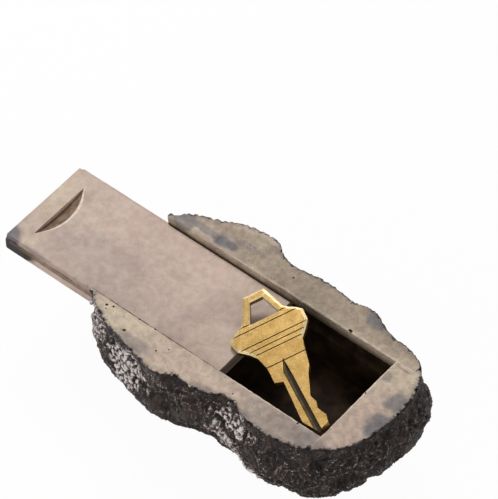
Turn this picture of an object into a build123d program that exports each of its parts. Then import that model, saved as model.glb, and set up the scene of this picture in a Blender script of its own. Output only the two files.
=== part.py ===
"""A hollow rock that hides a key. It lies on its crown, its sliding cover half drawn, the key across it.

Millimetres. +X runs along the cover's channel to its closed end, +Z out of the rock's flat base.
The origin is on the base plane, on the channel's middle line, half way along the base.
"""

import os
from math import atan2, cos, exp, hypot, pi, radians, sin

from build123d import *

# Channel and compartment in the rock's base
channel_length = 90.6  # closed end to the rock's open end
mouth_width = 36.8  # between the lips
pocket_length = 64.0
pocket_width = 33.6
pocket_depth = 15.0  # below the cover's runway
pocket_corner = 4.0
front_ledge = 1.5  # runway left in front of the pocket

# Rock, outside
front_rim = 13.0  # base rim beyond the closed end
side_rim = 14.3  # base rim beside the mouth, at its widest
open_end_bulge = 1.6  # rock beyond the open end, at most
rock_height = 43.0  # base plane to crown
belt_depth = 13.0  # the widest level, below the base plane
belt_swell = 4.4  # the belt is longer than the base by this
belt_wall = 14.6  # rock beyond the mouth at the belt, each side
belt_squareness = 2.6  # 2 is an ellipse, more is boxier
rim_fading = 0.72  # how much of the rim's waviness is gone at the belt
dome_roundness = 2.3  # how late the dome turns over towards the crown
crown_length = 46.0  # the flat that the upturned rock lies on
crown_width = 22.0
crown_shift_x = 3.0  # the crown stands nearer the closed end
crown_shift_y = 3.0  # and nearer the far side
largest_lump = 4.0
widest_hollow = 9.0  # half its width
deepest_hollow = 2.8
heart_depth = 16.0  # the rock's heart, which the hollows are placed from, below the base plane

# Cover
cover_set_back = 3.3  # closed, its outer end stays this far inside the rock's open end
cover_sink = 2.8  # its outer face below the base plane
step_height = 1.5  # raised middle that fills the mouth
step_bevel = 0.4
rail_thickness = 3.6  # side rails that run under the lips
rail_overhang = 1.1  # rail beyond the raised middle, each side
cover_corner = 1.2

# Thumb notch in the cover: a crescent, its straight side towards the outer end
notch_from_end = 6.6
notch_width = 24.0
notch_reach = 5.2
notch_depth = 2.2

# Clearances
side_clearance = 0.3
under_clearance = 0.15
over_clearance = 0.25
key_clearance = 0.25

# Key, from its bow's lower line: ahead to the tip, back to the loop
key_thickness = 2.0
bow_width = 24.0
bow_foot = -0.4  # the bow's lower corners stand back from that line
spine_margin = 1.2  # the bow's stamped margin is wider by this on the spine side
band_length = 4.5
bow_top = 7.3  # where the loop's hole begins
loop_reach = 17.4
loop_foot = 6.8  # half width where the loop leaves the bow
loop_head = 3.6  # half width at its end
loop_side_wall = 1.9
loop_head_wall = 1.4
loop_end_wall = 2.7
shoulder_at = 15.4
shoulder_half = 5.5
spine_offset = 2.8  # blade's straight edge from the middle line
blade_end = 37.3
tip_offset = 0.5
groove_start = 8.4
groove_taper = 5.0
groove_width = 2.2
groove_depth = 0.6
groove_offset = 0.6
# The key's blade points into the near corner of the closed end, its far side tilted up
key_yaw = -29.8
key_roll = 17.1
key_pitch = 3.7
tip_gap = 1.15  # tip to both walls of that corner
bow_past_cover = 0.9  # the bow's lower corner stands this far beyond the cover's end

# Base rim: share of the channel's length from its closed end, share of the side rim there
near_rim = [
    (0.98, 0.168),
    (0.94, 0.371),
    (0.84, 0.622),
    (0.75, 0.762),
    (0.67, 0.895),
    (0.6, 0.958),
    (0.555, 0.762),
    (0.49, 0.72),
    (0.41, 0.636),
    (0.35, 0.469),
    (0.27, 0.608),
    (0.19, 0.699),
    (0.1, 0.664),
    (0.045, 0.573),
]
far_rim = [
    (0.07, 0.483),
    (0.13, 0.636),
    (0.19, 0.804),
    (0.26, 0.713),
    (0.36, 0.769),
    (0.47, 0.706),
    (0.55, 0.685),
    (0.59, 0.79),
    (0.63, 0.965),
    (0.69, 1.0),
    (0.78, 0.881),
    (0.85, 0.657),
    (0.91, 0.517),
    (0.97, 0.28),
]
# Rim beyond the closed end: share of the front rim, then of half the mouth across
front_of_rim = [
    (0.18, -1.26),
    (0.61, -0.98),
    (0.86, -0.61),
    (0.96, -0.25),
    (1.0, 0.2),
    (0.98, 0.52),
    (0.87, 0.82),
    (0.46, 1.24),
    (0.02, 1.36),
]
# Rock beyond the open end: share of its bulge, then of half the mouth across
open_end = [(0.38, 0.8), (0.88, 0.3), (1.0, -0.3), (0.5, -0.8)]

# Swellings (+) and sinkings (-) of the flanks: heading round the rock in degrees, depth below
# the base plane and spread as shares of the rock's height, push as a share of the largest one
lumps = [
    (12, 0.24, 0.35, 0.8),
    (-35, 0.47, 0.35, 0.5),
    (-86, 0.64, 0.36, -1.0),
    (-98, 0.28, 0.23, 0.4),
    (-128, 0.3, 0.33, -0.75),
    (-126, 0.5, 0.21, 0.85),
    (-145, 0.4, 0.26, 0.4),
    (-160, 0.3, 0.33, 0.75),
    (178, 0.33, 0.33, -0.45),
    (150, 0.47, 0.35, 0.6),
    (118, 0.37, 0.3, -0.7),
    (88, 0.56, 0.35, 0.65),
    (58, 0.35, 0.28, -0.55),
    (30, 0.47, 0.33, 0.5),
    (-10, 0.75, 0.28, -0.2),
]
ring_shares = [0.0, 0.06, 0.15, 0.3, 0.46, 0.61, 0.76, 0.88, 0.96, 1.0]  # of the height

# Hollows of the outside, as where flakes have come off: heading round the rock and dip below
# level in degrees, seen from the rock's heart, then shares of the widest and of the deepest
hollows = [
    (-114, -5, 0.72, 0.57),
    (-94, 18, 0.94, 0.86),
    (-73, 10, 0.94, 0.86),
    (-57, -2, 0.61, 0.43),
    (-40, 13, 0.78, 0.57),
    (-24, 0, 0.61, 0.39),
    (-12, 26, 0.78, 0.57),
    (-154, 22, 0.83, 0.64),
    (-136, 36, 0.83, 0.71),
    (-167, 14, 0.78, 0.68),
    (172, 8, 0.94, 0.89),
    (152, 22, 0.83, 0.71),
    (135, 3, 0.94, 0.89),
    (112, 14, 0.78, 0.64),
    (87, 17, 1.0, 1.0),
    (66, 6, 0.72, 0.61),
    (45, 1, 0.89, 0.86),
    (30, 16, 0.78, 0.68),
    (9, 11, 0.94, 0.86),
    (-150, 42, 0.89, 0.86),
    (-104, 45, 0.78, 0.71),
    (-62, 46, 0.83, 0.82),
    (-34, 38, 0.78, 0.71),
    (106, 50, 0.83, 0.82),
    (56, 42, 0.78, 0.71),
    (17, 31, 0.83, 0.82),
    (164, 33, 0.83, 0.79),
]

# Places that follow from the sizes
half_mouth = mouth_width / 2
base_length = channel_length + front_rim
closed_end = base_length / 2 - front_rim
mouth_end = closed_end - channel_length
belt_length = base_length + belt_swell
belt_width = mouth_width + 2 * belt_wall
cover_length = channel_length - side_clearance - cover_set_back
step_foot_half = half_mouth - side_clearance
step_top_half = step_foot_half - step_bevel
rail_half = step_foot_half + rail_overhang
groove_half = rail_half + side_clearance
cover_top = -cover_sink
rail_top = cover_top - step_height
cover_bottom = rail_top - rail_thickness
lip_bottom = rail_top + over_clearance
runway = cover_bottom - under_clearance
pocket_floor = runway - pocket_depth
pocket_middle = closed_end - front_ledge - pocket_length / 2
beyond = belt_swell + 20.0  # the channel's cutters run this far past the open end

# Outline of the key, from its loop along the spine side to the tip and back along the cuts
half_bow = bow_width / 2
key_outline = [
    (-loop_reach, -loop_head),
    (-bow_top - 1.4, -loop_foot - spine_margin / 2),
    (-bow_top, 3.6 - half_bow - spine_margin),
    (-band_length - 1.6, 1.7 - half_bow - spine_margin),
    (-band_length, -half_bow - spine_margin),
    (bow_foot, -half_bow),
    (2.2, 2.9 - half_bow),
    (4.6, 4.8 - half_bow),
    (9.5, -5.7),
    (shoulder_at, -shoulder_half),
    (shoulder_at + 1.0, -spine_offset),
    (blade_end - 5.3, -spine_offset),
    (blade_end, tip_offset),
    (blade_end - 1.4, 4.3),
    (blade_end - 4.1, 4.8),
    (blade_end - 7.4, 3.2),
    (blade_end - 9.6, 3.7),
    (blade_end - 12.5, 2.8),
    (blade_end - 15.3, 3.8),
    (blade_end - 19.5, 5.0),
    (blade_end - 22.5, 6.5),
    (9.5, 7.3),
    (5.0, half_bow - 3.9),
    (2.4, half_bow - 1.8),
    (bow_foot, half_bow),
    (-band_length, half_bow),
    (-band_length - 1.6, half_bow - 1.7),
    (-bow_top, half_bow - 3.6),
    (-bow_top - 1.4, loop_foot),
    (-loop_reach, loop_head),
]
hanging_hole = [
    (-bow_top, -loop_foot + loop_side_wall),
    (-bow_top, loop_foot - loop_side_wall),
    (-loop_reach + loop_end_wall, loop_head - loop_head_wall),
    (-loop_reach + loop_end_wall, -loop_head + loop_head_wall),
]

# The key's own directions, its height so that its lowest corner clears the cover, and its
# place so that its tip stands in the corner of the channel
ahead = Vector(1, 0, 0).rotate(Axis.Y, key_pitch).rotate(Axis.Z, key_yaw)
level_side = Vector(0, 1, 0).rotate(Axis.Z, key_yaw)
key_up = ahead.cross(level_side).rotate(Axis((0, 0, 0), ahead), key_roll)
across = key_up.cross(ahead)
to_tip = ahead * blade_end + across * tip_offset
lowest_corner = min(x * ahead.Z + y * across.Z for x, y in key_outline)
key_x = closed_end - tip_gap - to_tip.X
key_y = -half_mouth + tip_gap - to_tip.Y
key_z = cover_top + key_clearance - lowest_corner
key_plane = Plane((key_x, key_y, key_z), x_dir=ahead, z_dir=key_up)

# The cover is drawn out until its inner end stands just behind the bow's lower corner
bow_corner_x = key_x + bow_foot * ahead.X - half_bow * across.X
cover_inner_end = bow_corner_x - bow_past_cover
cover_outer_end = cover_inner_end - cover_length


def base_outline():
    """Corner points of the base rim, anticlockwise from the near tip of the open end."""
    points = [(closed_end - s * channel_length, -half_mouth - w * side_rim) for s, w in near_rim]
    points += [(closed_end + r * front_rim, s * half_mouth) for r, s in front_of_rim]
    points += [(closed_end - s * channel_length, half_mouth + w * side_rim) for s, w in far_rim]
    points += [(mouth_end - r * open_end_bulge, s * half_mouth) for r, s in open_end]
    return points


def oval(heading, length, width):
    """Point of a squarish oval in a given heading."""
    c, s = cos(heading), sin(heading)
    n = belt_squareness
    r = (abs(2 * c / length) ** n + abs(2 * s / width) ** n) ** (-1 / n)
    return r * c, r * s


def swelling(heading, depth, radius):
    """Sum of the lumps felt at one place on the flank."""
    total = 0.0
    for at, lump_depth, spread, push in lumps:
        turn = (heading - radians(at) + pi) % (2 * pi) - pi
        apart = hypot(turn * radius, depth - lump_depth * rock_height)
        total += push * exp(-((apart / (spread * rock_height)) ** 2))
    return total * largest_lump


def ring(depth):
    """Outline of the rock at a depth below the base plane."""
    to_belt = min(1.0, depth / belt_depth)
    past_belt = max(0.0, (depth - belt_depth) / (rock_height - belt_depth))
    turn_over = past_belt**dome_roundness
    length = belt_length + (crown_length - belt_length) * turn_over
    width = belt_width + (crown_width - belt_width) * turn_over
    calm = rim_fading * sin(to_belt * pi / 2) + (1 - rim_fading) * depth / rock_height
    points = []
    for x, y in base_outline():
        heading = atan2(y, x)
        oval_x, oval_y = oval(heading, length, width)
        ring_x = x * (length / belt_length) * (1 - calm) + oval_x * calm
        ring_y = y * (width / belt_width) * (1 - calm) + oval_y * calm
        radius = hypot(ring_x, ring_y)
        push = swelling(heading, depth, radius) * to_belt * (1 - past_belt**3)
        grow = 1 + push / radius
        shifted_x = ring_x * grow + crown_shift_x * turn_over
        shifted_y = ring_y * grow + crown_shift_y * turn_over
        points.append((shifted_x, shifted_y))
    return points


def scoop(outside, heading, dip, width_share, depth_share):
    """The ball that takes one hollow out of the outside: its middle and its radius."""
    half_width = width_share * widest_hollow
    depth = depth_share * deepest_hollow
    way = Vector(1, 0, 0).rotate(Axis.Y, dip).rotate(Axis.Z, heading)
    heart = Vector(0, 0, -heart_depth)
    hits = outside.find_intersection_points(Axis(heart, way))
    place, out = max(hits, key=lambda hit: (hit[0] - heart).dot(way))
    radius = (half_width**2 + depth**2) / (2 * depth)
    return place + out * (radius - depth), radius


# The rock: one thick casting with the cover's channel and the key compartment in its flat base
with BuildPart() as rock_body:
    for share in ring_shares:
        with BuildSketch(Plane.XY.offset(-share * rock_height)):
            with BuildLine():
                Spline(*ring(share * rock_height), periodic=True)
            make_face()
    loft()
    scoops = [scoop(rock_body.part, *hollow) for hollow in hollows]
    for middle, radius in scoops:
        with Locations(middle):
            Sphere(radius, mode=Mode.SUBTRACT)
    # mouth between the lips, open at the outer end
    with BuildSketch(Plane.XY.offset(runway)):
        with Locations((closed_end, 0)):
            Rectangle(channel_length + beyond, mouth_width, align=(Align.MAX, Align.CENTER))
    extrude(amount=-runway, mode=Mode.SUBTRACT)
    # grooves under the lips, down to the runway
    with BuildSketch(Plane.XY.offset(runway)):
        with Locations((closed_end, 0)):
            Rectangle(channel_length + beyond, 2 * groove_half, align=(Align.MAX, Align.CENTER))
    extrude(amount=lip_bottom - runway, mode=Mode.SUBTRACT)
    # key compartment
    with BuildSketch(Plane.XY.offset(pocket_floor)):
        with Locations((pocket_middle, 0)):
            RectangleRounded(pocket_length, pocket_width, pocket_corner)
    extrude(amount=pocket_depth, mode=Mode.SUBTRACT)

# The cover: a plate with a rail down each long side, a raised middle that fills the mouth, and
# a thumb notch near its outer end
with BuildPart() as slide_cover:
    with BuildSketch(Plane.XY.offset(cover_bottom)):
        with Locations((cover_outer_end, 0)):
            Rectangle(cover_length, 2 * rail_half, align=(Align.MIN, Align.CENTER))
    extrude(amount=rail_thickness)
    with BuildSketch(Plane.YZ.offset(cover_outer_end)):
        with BuildLine():
            Polyline(
                (-step_foot_half, rail_top),
                (step_foot_half, rail_top),
                (step_top_half, cover_top),
                (-step_top_half, cover_top),
                close=True,
            )
        make_face()
    extrude(amount=cover_length)
    notch_x = cover_outer_end + notch_from_end
    notch_tips = [(notch_x, -notch_width / 2), (notch_x, notch_width / 2)]
    with BuildSketch(Plane.XY.offset(cover_top - notch_depth)):
        with BuildLine():
            Line(*notch_tips)
            ThreePointArc(notch_tips[1], (notch_x + notch_reach, 0), notch_tips[0])
        make_face()
    extrude(amount=notch_depth, mode=Mode.SUBTRACT)
    fillet(slide_cover.edges().filter_by(Axis.Z).group_by(Axis.X)[0], radius=cover_corner)

# The key: bow with a hanging loop, stop shoulder, and a blade with cuts and a milled groove
with BuildPart() as key:
    with BuildSketch(key_plane):
        with BuildLine():
            Polyline(*key_outline, close=True)
        make_face()
        with BuildLine():
            Polyline(*hanging_hole, close=True)
        make_face(mode=Mode.SUBTRACT)
    extrude(amount=key_thickness)
    groove_half_width = groove_width / 2
    with BuildSketch(key_plane.offset(key_thickness - groove_depth)):
        with BuildLine():
            Polyline(
                (groove_start, 0),
                (groove_start + groove_taper, groove_half_width - groove_offset),
                (blade_end, groove_half_width + groove_offset),
                (blade_end, -groove_half_width + groove_offset),
                (groove_start + groove_taper, -groove_half_width - groove_offset),
                close=True,
            )
        make_face()
    extrude(amount=groove_depth, mode=Mode.SUBTRACT)

rock_body.part.label = "rock_body"
slide_cover.part.label = "slide_cover"
key.part.label = "key"

os.makedirs("parts", exist_ok=True)
export_step(rock_body.part, "parts/rock_body.step")
export_step(slide_cover.part, "parts/slide_cover.step")
export_step(key.part, "parts/key.step")
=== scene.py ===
"""A cast resin rock that hides a key: it lies upturned on a pale floor, with its cover half drawn
and a key across its open compartment."""

import random
from math import cos, pi, radians, sin, sqrt

import bmesh
import bpy
import numpy as np
from mathutils import Matrix, Vector, kdtree, noise


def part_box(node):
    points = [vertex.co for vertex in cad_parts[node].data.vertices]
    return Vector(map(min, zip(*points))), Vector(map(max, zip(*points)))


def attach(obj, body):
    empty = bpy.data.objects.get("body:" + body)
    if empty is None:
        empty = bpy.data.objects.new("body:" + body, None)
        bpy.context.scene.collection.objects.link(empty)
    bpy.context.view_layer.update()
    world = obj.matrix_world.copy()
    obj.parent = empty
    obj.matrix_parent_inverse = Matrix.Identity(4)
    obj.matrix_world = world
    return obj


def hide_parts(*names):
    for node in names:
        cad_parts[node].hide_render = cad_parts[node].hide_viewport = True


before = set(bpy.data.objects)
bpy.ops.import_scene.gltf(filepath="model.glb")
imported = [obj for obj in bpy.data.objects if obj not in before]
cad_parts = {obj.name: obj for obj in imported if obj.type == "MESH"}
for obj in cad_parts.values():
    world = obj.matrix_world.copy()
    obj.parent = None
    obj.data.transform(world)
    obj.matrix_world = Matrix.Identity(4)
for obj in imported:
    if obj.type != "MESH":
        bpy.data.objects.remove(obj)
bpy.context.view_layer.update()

# --- The rock -----------------------------------------------------------------------------
# One casting of stone-filled polyester resin, poured into a rubber mould. Its flat base is the
# top of the pour, sanded level; the channel, its lips and the compartment are cast in. The
# outside is washed with dark paint and dry-brushed with a pale pinkish grey.

mm = 0.001
rock_low, rock_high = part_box("rock_body")
cover_low, cover_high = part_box("slide_cover")
side_gap = 0.3 * mm
under_gap = 0.15 * mm
lip_reach = 1.1 * mm
groove_height = 4.0 * mm
channel_end = 38.8 * mm
runway = cover_low.z - under_gap
groove_half = cover_high.y + side_gap
mouth_half = groove_half - lip_reach
lip_under = runway + groove_height
end_ledge = 1.5 * mm
pocket_length = 64 * mm
pocket_depth = 15 * mm
pocket_near_end = channel_end - end_ledge
pocket_far_end = pocket_near_end - pocket_length
pocket_half = 16.8 * mm
pocket_floor = runway - pocket_depth
pocket_corner = 4 * mm
spare_height = 3 * mm  # the blank stands this far above the base plane before it is sawn off
blank_voxel = 0.46 * mm
beyond_open_end = -62 * mm
above_base = 2 * mm  # how far the cutters of the mouth reach above the base plane
on_base_plane = -1e-5  # what lies higher than this is on the base plane


def new_piece(name, bm, finishes=(), kind=None):
    """An object that holds a finished bmesh, its faces all of one of its finishes if one is given."""
    bmesh.ops.recalc_face_normals(bm, faces=bm.faces)
    mesh = bpy.data.meshes.new(name)
    for finish in finishes:
        mesh.materials.append(finish)
    if kind is not None:
        for face in bm.faces:
            face.material_index = kind
    bm.to_mesh(mesh)
    bm.free()
    piece = bpy.data.objects.new(name, mesh)
    bpy.context.scene.collection.objects.link(piece)
    return piece


def apply_modifiers(piece):
    """Gives a piece the mesh that its modifiers make, and drops them."""
    graph = bpy.context.evaluated_depsgraph_get()
    mesh = bpy.data.meshes.new_from_object(piece.evaluated_get(graph))
    piece.modifiers.clear()
    piece.data = mesh


def cut_away(piece, cutter):
    """Takes a closed cutter out of a piece and throws the cutter away."""
    cut = piece.modifiers.new("cut", "BOOLEAN")
    cut.operation = "DIFFERENCE"
    cut.solver = "MANIFOLD"
    cut.object = cutter
    apply_modifiers(piece)
    bpy.data.objects.remove(cutter)


def add_block(bm, low, high):
    """Adds a plain block between two corners."""
    low, high = Vector(low), Vector(high)
    size = high - low
    place = Matrix.Translation((low + high) / 2) @ Matrix.Diagonal((*size, 1))
    bmesh.ops.create_cube(bm, size=1, matrix=place)


def add_prism(bm, outline):
    """Adds a prism from two matching rings of points, bottom and top."""
    bottom, top = ([bm.verts.new(point) for point in ring] for ring in outline)
    bm.faces.new(bottom)
    bm.faces.new(top[::-1])
    for i in range(len(bottom)):
        j = (i + 1) % len(bottom)
        bm.faces.new((bottom[i], top[i], top[j], bottom[j]))


def divide(bm, step):
    """Cuts every face along planes a step apart, so that a cast face can be uneven."""
    for axis in range(3):
        values = [vert.co[axis] for vert in bm.verts]
        low, high = min(values), max(values)
        count = int((high - low) / step)
        for i in range(1, count + 1):
            place = Vector((0, 0, 0))
            normal = Vector((0, 0, 0))
            place[axis] = low + (high - low) * i / (count + 1)
            normal[axis] = 1
            geom = bm.verts[:] + bm.edges[:] + bm.faces[:]
            bmesh.ops.bisect_plane(bm, geom=geom, plane_co=place, plane_no=normal, dist=1e-7)


def roughen(bm, depth, size):
    """Pushes a closed cutter's faces out by up to a depth, in bumps of a size."""
    bmesh.ops.recalc_face_normals(bm, faces=bm.faces)
    bm.normal_update()
    pushes = [(v, v.normal * depth * (0.5 + noise.noise(v.co / size))) for v in bm.verts]
    for vert, push in pushes:
        vert.co += push


def raise_faces(bm, faces, height):
    """Draws flat faces up by a height, with sides below them."""
    raised = bmesh.ops.extrude_face_region(bm, geom=faces)["geom"]
    verts = [item for item in raised if isinstance(item, bmesh.types.BMVert)]
    bmesh.ops.translate(bm, verts=verts, vec=(0, 0, height))


# Its three finishes: painted outside, bare resin, and resin painted near-black brown, which is a dark
# wash and painted shade. A cutter leaves its own finish on the faces that it makes.
rock_finishes = [
    bpy.data.materials.new(name) for name in ("painted_skin", "sanded_resin", "shade_and_wash_resin")
]
outside, bare, shade_and_wash = range(3)

# The blank: the rock's outside with its channel and compartment filled, raised above the base
blank = bmesh.new()
blank.from_mesh(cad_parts["rock_body"].data)
bmesh.ops.remove_doubles(blank, verts=blank.verts, dist=1e-6)
base_faces = []
for face in blank.faces:
    if face.normal.z > 0.999 and face.calc_center_median().z > on_base_plane:
        base_faces.append(face)
raise_faces(blank, base_faces, spare_height)
left_over = [face for face in base_faces if face.is_valid]
bmesh.ops.delete(blank, geom=left_over, context="FACES")
fill = 0.4 * mm  # how far the filling blocks reach into the casting
channel_fill_start = -52.6 * mm
channel_fill_low = (channel_fill_start, -groove_half - fill, runway - fill)
channel_fill_high = (channel_end + fill, groove_half + fill, spare_height)
add_block(blank, channel_fill_low, channel_fill_high)
pocket_fill_low = (pocket_far_end - fill, -pocket_half - fill, pocket_floor - fill)
pocket_fill_high = (pocket_near_end + fill, pocket_half + fill, runway)
add_block(blank, pocket_fill_low, pocket_fill_high)
rock = new_piece("rock_casting", blank)
remesh = rock.modifiers.new("voxels", "REMESH")
remesh.mode = "VOXEL"
remesh.voxel_size = blank_voxel
apply_modifiers(rock)
for finish in rock_finishes:
    rock.data.materials.append(finish)


def fade(value, low, high):
    """0 below low, 1 above high and a smooth rise between."""
    share = min(1.0, max(0.0, (value - low) / (high - low)))
    return share * share * (3 - 2 * share)


# Crumbly places of the outside, full of pebbles, which the pale paint caught: place and reach
# in mm, and how crumbly
crumbly_places = [
    ((-46, -22, -6), (9, 8, 13), 1.0),
    ((-29, -28, -11), (10, 7, 11), 1.15),
    ((-17, -29, -4), (4, 4, 4), 0.5),
    ((10, -27, -17), (7, 8, 10), 1.2),
    ((19, -29, -26), (8, 8, 6), 1.1),
    ((13, -29, -5), (8, 5, 6), 1.0),
    ((30, 30, -12), (12, 8, 9), 0.8),
    ((-20, 31, -20), (14, 8, 9), 0.9),
    ((-52, 12, -20), (7, 12, 10), 0.8),
    ((10, 26, -36), (16, 8, 8), 0.7),
    ((-30, -10, -38), (10, 10, 7), 0.8),
    ((36, -8, -36), (8, 12, 7), 0.6),
]


def crumbliness(point):
    """0 where the outside is smooth and streaky, 1 where it is full of pebbles; place in mm."""
    most = 0.0
    for centre, reach, amount in crumbly_places:
        away = point - Vector(centre)
        far = sqrt(sum((a / r) ** 2 for a, r in zip(away, reach)))
        far += 0.5 * noise.noise(point / 3.5)
        most = max(most, amount * (1 - fade(far, 0.55, 1.25)))
    return most


# How far apart the outside's forms stand, and how high they are, in mm
swell_size, swell_height = 11, 0.7
dent_size, dent_depth = 6.5, 1.1
warp_size, warp_reach = 3.1, 0.9
fold_size, fold_height = 4.2, 0.55
wrinkle_size, wrinkle_height = 2.1, 0.42
crinkle_size, crinkle_height = 1.15, 0.2
pebble_size, pebble_height = 1.55, 0.95
noise.seed_set(12)  # without a seed, noise_vector starts from the clock


def creases(point, size, shift, sharpness):
    """Sharp crests between round hollows, about a size apart."""
    return 0.35 - abs(noise.noise(point / size + Vector(shift))) * sharpness


def relief(point):
    """How far the outside stands out or in at a place, in mm, from boulder swells to pebbles."""
    near_base = fade(point.z, -5, -0.5)
    coarse = 1 - 0.85 * near_base
    swell = swell_height * noise.noise(point / swell_size)
    dents = dent_depth * fade(noise.noise(point / dent_size + Vector((31, 7, 3))), 0.12, 0.5)
    warp = noise.noise_vector(point / warp_size) * warp_reach
    streak = 1 - 0.55 * fade(noise.noise(point / 18 + Vector((5, 11, 2))), -0.15, 0.2)
    creased = Vector((point.x, point.y, point.z * streak)) + warp
    folds = creases(creased, fold_size, (0, 0, 0), 2.2)
    wrinkles = creases(creased, wrinkle_size, (3, 9, 27), 2.4)
    crinkles = creases(creased, crinkle_size, (13, 2, 8), 2.4)
    pebbles = 0.45 - noise.voronoi(point / pebble_size + warp * 0.3)[0][0]
    crumbly = crumbliness(point)
    rough = fold_height * folds * coarse + (wrinkle_height - 0.2 * crumbly) * wrinkles
    rough += crinkle_height * crinkles + pebble_height * crumbly * pebbles
    return coarse * (swell - dents) + rough * (1 - 0.45 * near_base) - 0.1 * near_base


soft_edge = 1.2 * mm


def press_inside(values, limit, side):
    """Bends values near a limit so that none passes it; side is 1 for an upper limit, or else -1."""
    over = side * (values - limit) + soft_edge
    pressed = limit - side * soft_edge * np.exp(-np.clip(over, 0, None) / soft_edge)
    return np.where(over > 0, pressed, values)


def read_vertices(mesh):
    """Places and normals of a mesh's vertices, one to a row."""
    both = []
    for source, name in ((mesh.vertices, "co"), (mesh.vertex_normals, "vector")):
        flat = np.empty(len(mesh.vertices) * 3, np.float32)
        source.foreach_get(name, flat)
        both.append(flat.reshape(-1, 3).astype(float))
    return both


rock_mesh = rock.data
places, normals = read_vertices(rock_mesh)
outward = np.array([relief(Vector(place)) for place in places / mm])
set_back = 0.12  # mm
outward -= outward.mean() + set_back
places += normals * outward[:, None] * mm
# No crest stands outside the casting's own box
for axis in (0, 1):
    places[:, axis] = press_inside(places[:, axis], rock_high[axis], 1)
    places[:, axis] = press_inside(places[:, axis], rock_low[axis], -1)
places[:, 2] = np.clip(places[:, 2], rock_low.z, None)
rock_mesh.vertices.foreach_set("co", places.astype(np.float32).ravel())
rock_mesh.update()

# Everything above the base plane is sawn off and sanded, which leaves it very slightly uneven
slab = bmesh.new()
slab_half_length, slab_half_width = 66 * mm, 42 * mm
slab_columns, slab_rows = 140, 88
sanding_depth, sanding_size = 0.05 * mm, 6 * mm
slab_size = Matrix.Diagonal((slab_half_length, slab_half_width, 1, 1))
bmesh.ops.create_grid(slab, x_segments=slab_columns, y_segments=slab_rows, size=1, matrix=slab_size)
for vert in slab.verts:
    vert.co.z = -sanding_depth * fade(noise.noise(vert.co / sanding_size), -0.3, 0.4)
raise_faces(slab, slab.faces[:], 2 * spare_height)
cut_away(rock, new_piece("slab", slab, rock_finishes, bare))

# The channel, its section drawn across it: mouth, lips, and the grooves under them
section = [
    (mouth_half, above_base),
    (mouth_half, lip_under),
    (groove_half, lip_under),
    (groove_half, runway),
    (-groove_half, runway),
    (-groove_half, lip_under),
    (-mouth_half, lip_under),
    (-mouth_half, above_base),
]
channel = bmesh.new()
add_prism(channel, [[(x, y, z) for y, z in section] for x in (beyond_open_end, channel_end)])
divide(channel, step=1.1 * mm)
roughen(channel, depth=0.14 * mm, size=1.3 * mm)
# Where the cover leaves it open, the channel under the lips is painted near-black: painted shade
# over the wash and dirt that have settled there
shade_and_dirt_top = lip_under + 0.3 * mm
shade_and_dirt_start = cover_high.x - 6 * mm
for face in channel.faces:
    middle = face.calc_center_median()
    under_lip = middle.z < shade_and_dirt_top and middle.x > shade_and_dirt_start
    face.material_index = shade_and_wash if under_lip else bare
cut_away(rock, new_piece("channel", channel, rock_finishes))

# The mouth's edges are broken at 45 degrees, by hand and unevenly
edge_break = 0.35 * mm
flare = bmesh.new()
rings = []
for z, grow in ((-edge_break, 0), (above_base, above_base + edge_break)):
    half = mouth_half + grow
    rings.append([(beyond_open_end, -half, z), (channel_end + grow, -half, z),
                  (channel_end + grow, half, z), (beyond_open_end, half, z)])
add_prism(flare, rings)
divide(flare, step=0.9 * mm)
roughen(flare, depth=0.22 * mm, size=1.1 * mm)
cut_away(rock, new_piece("flare", flare, rock_finishes, bare))

# The compartment, with rounded corners and a cast floor
corner_steps = 6
outline = []
for turn, x_side, y_side in ((0, 1, 1), (1, -1, 1), (2, -1, -1), (3, 1, -1)):
    end = pocket_near_end if x_side > 0 else pocket_far_end
    x_centre = end - x_side * pocket_corner
    y_centre = y_side * (pocket_half - pocket_corner)
    for i in range(corner_steps + 1):
        angle = (turn + i / corner_steps) * pi / 2
        outline.append((x_centre + pocket_corner * cos(angle), y_centre + pocket_corner * sin(angle)))
pocket = bmesh.new()
add_prism(pocket, [[(x, y, z) for x, y in outline] for z in (pocket_floor, runway + 1 * mm)])
divide(pocket, step=2 * mm)
roughen(pocket, depth=0.3 * mm, size=3 * mm)
# Its faces are painted near-black brown: painted shade over a dark wash
cut_away(rock, new_piece("pocket", pocket, rock_finishes, shade_and_wash))

# Air bubbles in the sanded base: place on it and radius, in mm
bubbles = [
    (-44.3, -20.9, 0.5), (-43.6, -22.2, 0.3), (-42.2, -20.3, 0.45), (-33.7, -25.2, 0.55),
    (-20.8, -25.1, 0.35), (-36.7, -18.55, 0.5), (-32.6, -18.55, 0.6), (-29.4, -18.6, 0.45),
    (-26.3, -18.6, 0.6), (20.8, 18.8, 0.7), (-18, -22.3, 0.3), (8, -23, 0.25), (-6, 24, 0.35),
    (30.5, -19.0, 0.4), (39.2, 3.0, 0.4),
]
chance = random.Random(12)
pinhole_count = 60
pinholes = []
for _ in range(pinhole_count):
    pinholes.append((chance.uniform(-50, 51), chance.uniform(-31, 31), chance.uniform(0.1, 0.2)))
# Flakes broken from the base's outer edge, at the edge's own points: most before the painting,
# and the chips after it
flakes, chips = [], []
edge_points = []
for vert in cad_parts["rock_body"].data.vertices:
    on_outer_edge = abs(vert.co.y) > mouth_half + 1 * mm or vert.co.x > channel_end + 1 * mm
    if vert.co.z > on_base_plane and on_outer_edge:
        edge_points.append(vert.co / mm)
edge_points.sort(key=lambda p: np.arctan2(p.y, p.x))
for number, point in enumerate(edge_points[::4]):
    away = Vector((point.x, point.y, 0)).normalized()
    late = number % 3 == 0
    size = chance.uniform(0.35, 0.7) if late else chance.uniform(0.6, 1.4)
    centre = point + away * size * (0.1 if late else chance.uniform(0.35, 0.8))
    (chips if late else flakes).append((centre.x, centre.y, size))


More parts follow.
